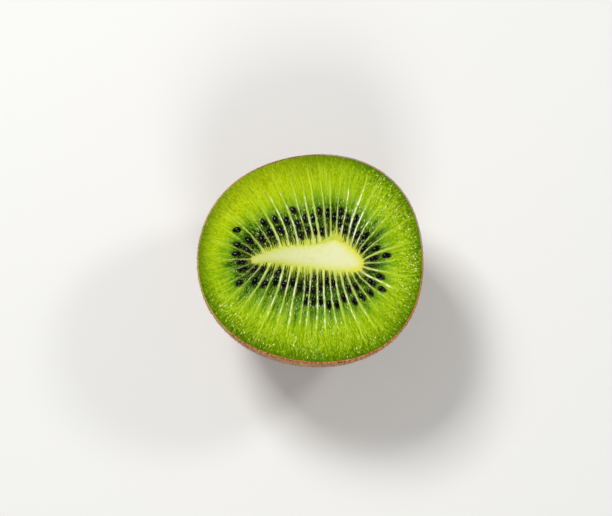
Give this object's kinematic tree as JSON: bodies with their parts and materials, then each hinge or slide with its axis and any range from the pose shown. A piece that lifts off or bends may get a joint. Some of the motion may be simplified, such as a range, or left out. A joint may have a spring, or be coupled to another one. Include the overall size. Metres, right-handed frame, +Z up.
{
  "type": "kiwi fruit half",
  "caption": "Half of a fresh kiwi fruit, cut crosswise: green ribbed flesh, pale core, dark seeds and thin brown downy skin.",
  "frame": {"origin": "middle of the small flat spot that the half stands on, under the middle of its bounding box", "axes": "+X along the longer width of the cut face, +Y along its shorter width, +Z up, out of the cut face"},
  "size_m": [0.054, 0.0506, 0.0336],
  "materials": {
    "flesh": "moist, slightly see-through green flesh",
    "core": "pale, moist and finely grained",
    "seed": "smooth and glossy, almost black",
    "skin": "thin, dull russet skin with short down"
  },
  "bodies": {
    "root": {"kiwi_half": "flesh"}
  },
  "joints": []
}
